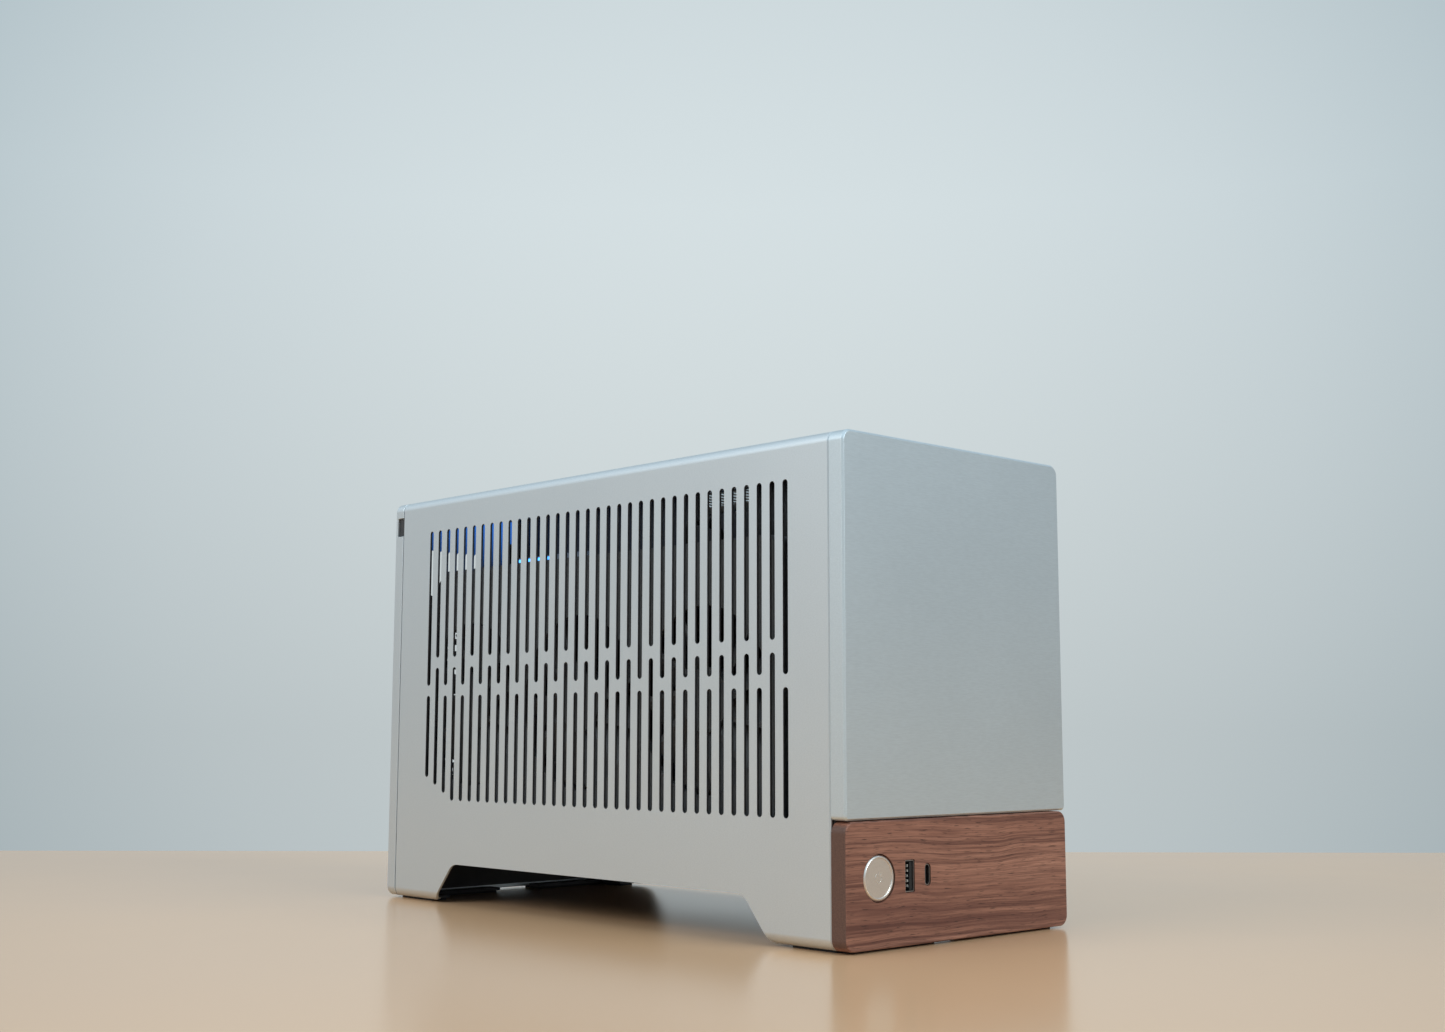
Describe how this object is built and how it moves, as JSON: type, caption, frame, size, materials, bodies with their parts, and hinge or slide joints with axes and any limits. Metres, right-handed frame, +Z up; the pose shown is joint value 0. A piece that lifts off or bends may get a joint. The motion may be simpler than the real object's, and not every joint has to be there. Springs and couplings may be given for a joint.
{
  "type": "desktop computer tower",
  "caption": "Small upright desktop computer case with slotted gull-wing side doors, metal front over a wooden block, power button, ports and fitted inner hardware.",
  "frame": {"origin": "centre of the base, on the surface that the rubber pads stand on", "axes": "+Z up, -Y out of the front, +X towards the mainboard side (right when facing the rear panel from the front)"},
  "size_m": [0.153, 0.343, 0.218],
  "materials": {
    "anodised_aluminium": "satin",
    "walnut": "satin",
    "satin_silver": "satin",
    "dark_plastic": "matte",
    "bright_steel": "satin",
    "port_plastic": "matte",
    "contact_gold": "polished",
    "circuit_board": "satin",
    "black_steel": "matte",
    "pad_rubber": "matte",
    "black_aluminium": "satin",
    "chip_package": "satin",
    "cooler_aluminium": "satin",
    "copper": "polished",
    "fan_plastic": "satin",
    "switch_plastic": "gloss",
    "shroud_plastic": "matte",
    "lit_plastic": "gloss",
    "cable_jacket": "matte"
  },
  "bodies": {
    "chassis": {"board_coolers": "black_aluminium", "board_sockets": "dark_plastic", "board_standoffs": "bright_steel", "bottom_tray": "black_steel", "cable_plugs": "dark_plastic", "chassis_feet": "black_steel", "cooler_base": "copper", "cooler_fins": "cooler_aluminium", "cpu_fan_frame": "dark_plastic", "door_studs": "bright_steel", "front_cover": "anodised_aluminium", "front_frame": "black_steel", "gpu_backplate": "black_aluminium", "gpu_board": "circuit_board", "gpu_board_parts": "chip_package", "gpu_bracket": "bright_steel", "gpu_fins": "cooler_aluminium", "gpu_shroud": "shroud_plastic", "hinge_pins": "bright_steel", "inner_cables": "cable_jacket", "io_connectors": "bright_steel", "io_shield": "bright_steel", "light_bar": "lit_plastic", "lock_tabs": "dark_plastic", "mainboard": "circuit_board", "mains_inlet": "dark_plastic", "mains_lead": "cable_jacket", "memory_modules": "black_aluminium", "port_board": "circuit_board", "processor": "chip_package", "psu_bracket": "black_steel", "psu_case": "black_steel", "psu_fan_grille": "black_steel", "psu_inlet": "dark_plastic", "psu_plug": "dark_plastic", "rear_bezel": "anodised_aluminium", "rear_plate": "black_steel", "riser_cable": "cable_jacket", "riser_plug": "dark_plastic", "riser_socket": "dark_plastic", "rubber_pads": "pad_rubber", "screws": "bright_steel", "spine_plate": "black_steel", "top_rail": "anodised_aluminium", "usb_a_contacts": "contact_gold", "usb_a_shell": "bright_steel", "usb_c_shell": "bright_steel", "usb_tongues": "port_plastic", "walnut_block": "walnut"},
    "door_left": {"door_left": "anodised_aluminium", "door_left_clips": "dark_plastic"},
    "door_right": {"door_right": "anodised_aluminium", "door_right_clips": "dark_plastic"},
    "power_button": {"power_button": "satin_silver"},
    "psu_switch": {"psu_switch": "switch_plastic"},
    "psu_fan": {"psu_fan_rotor": "fan_plastic"},
    "cpu_fan": {"cpu_fan_rotor": "fan_plastic"},
    "gpu_fan_1": {"gpu_fan_1": "fan_plastic"},
    "gpu_fan_2": {"gpu_fan_2": "fan_plastic"},
    "gpu_fan_3": {"gpu_fan_3": "fan_plastic"}
  },
  "joints": [
    {"name": "door_left_hinge", "type": "hinge", "parent": "chassis", "child": "door_left", "pos_m": [-0.008, 0, 0.2164], "axis": [0, 1, 0], "range_deg": [0, 85]},
    {"name": "door_right_hinge", "type": "hinge", "parent": "chassis", "child": "door_right", "pos_m": [0.008, 0, 0.2164], "axis": [0, -1, 0], "range_deg": [0, 85]},
    {"name": "power_button_press", "type": "slide", "parent": "chassis", "child": "power_button", "axis": [0, 1, 0], "range_m": [0, 0.0012], "stiffness_N_per_m": 1500, "springref_m": -0.0005},
    {"name": "psu_switch_rock", "type": "hinge", "parent": "chassis", "child": "psu_switch", "pos_m": [0.017, -0.124, 0.1], "axis": [1, 0, 0], "range_deg": [0, 16]},
    {"name": "psu_fan_spin", "type": "hinge", "parent": "chassis", "child": "psu_fan", "pos_m": [0.064, -0.078, 0.1305], "axis": [1, 0, 0], "continuous": true},
    {"name": "cpu_fan_spin", "type": "hinge", "parent": "chassis", "child": "cpu_fan", "pos_m": [0.058, 0.078, 0.128], "axis": [1, 0, 0], "continuous": true},
    {"name": "gpu_fan_1_spin", "type": "hinge", "parent": "chassis", "child": "gpu_fan_1", "pos_m": [-0.058, -0.074, 0.105], "axis": [1, 0, 0], "continuous": true},
    {"name": "gpu_fan_2_spin", "type": "hinge", "parent": "chassis", "child": "gpu_fan_2", "pos_m": [-0.058, 0.018, 0.105], "axis": [1, 0, 0], "continuous": true},
    {"name": "gpu_fan_3_spin", "type": "hinge", "parent": "chassis", "child": "gpu_fan_3", "pos_m": [-0.058, 0.11, 0.105], "axis": [1, 0, 0], "continuous": true}
  ]
}
